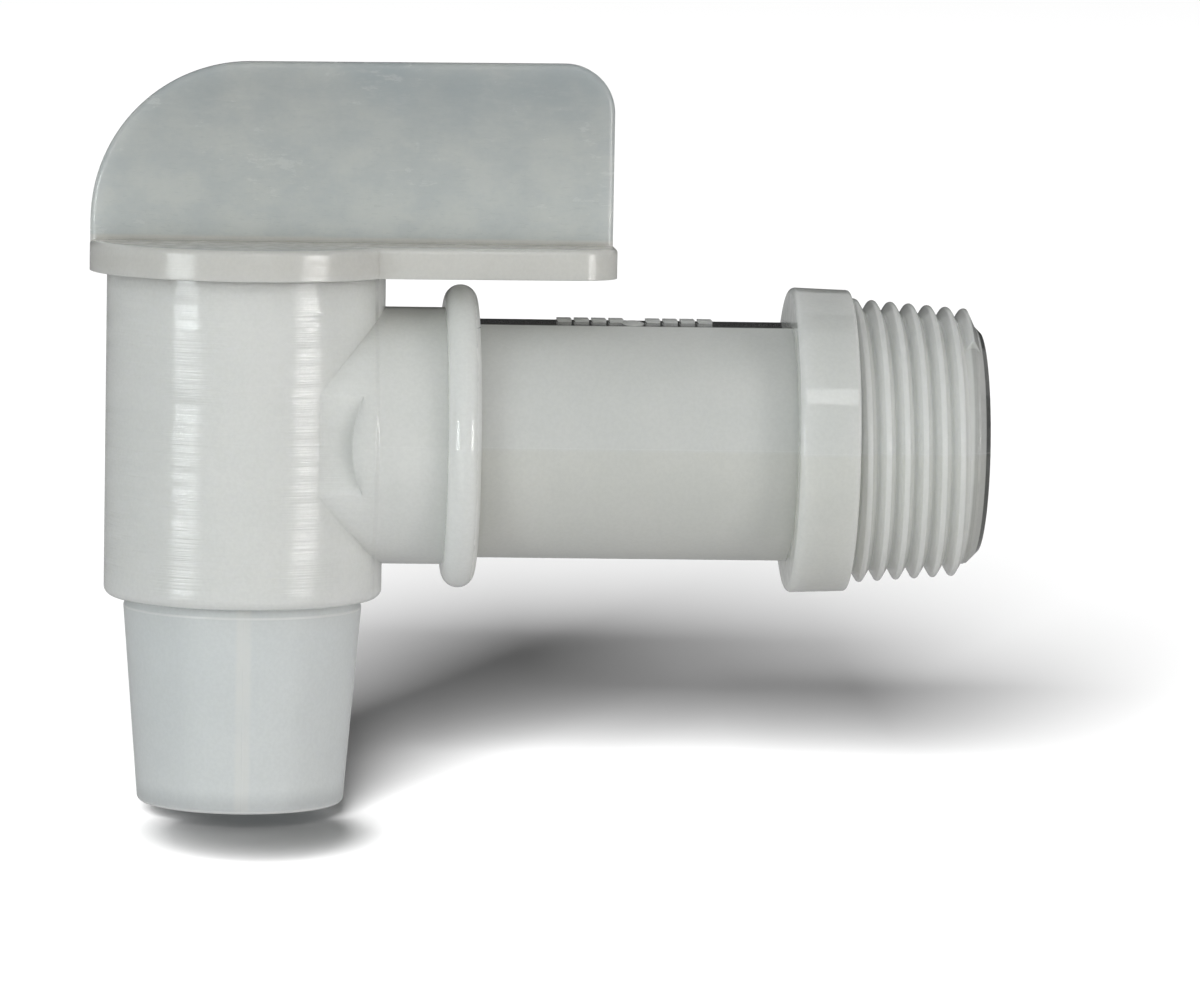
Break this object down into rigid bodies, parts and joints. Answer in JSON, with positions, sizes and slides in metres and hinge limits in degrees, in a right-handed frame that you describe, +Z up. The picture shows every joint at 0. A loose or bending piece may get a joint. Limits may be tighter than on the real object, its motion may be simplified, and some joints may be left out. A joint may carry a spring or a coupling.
{
  "type": "drum faucet",
  "caption": "Plastic drum faucet: tapered male pipe thread, round shank, upright barrel and a hollow rotary plug turned by a flag-shaped handle that opens or shuts a downward spout.",
  "frame": {"origin": "centre of the collar's thread-side face, on the shank's axis", "axes": "+X along the shank's axis, out of the threaded inlet; +Z up along the barrel's axis, towards the handle"},
  "size_m": [0.0871, 0.0304, 0.0726],
  "materials": {
    "body_polyethylene": "satin, milky translucent, natural",
    "plug_polyethylene": "satin, milky translucent, faintly blue",
    "handle_polyethylene": "satin, milky translucent, faintly blue with cloudy scuffs",
    "seal_rubber": "natural translucent elastomer"
  },
  "bodies": {
    "faucet_body": {"valve_body": "body_polyethylene", "inlet_seat_ring": "seal_rubber"},
    "rotor": {"rotary_plug": "plug_polyethylene", "upper_o_ring": "seal_rubber", "lower_o_ring": "seal_rubber", "handle": "handle_polyethylene"}
  },
  "joints": [
    {"name": "plug_turn", "type": "hinge", "parent": "faucet_body", "child": "rotor", "pos_m": [-0.0589, 0, 0], "axis": [0, 0, 1], "continuous": true}
  ]
}
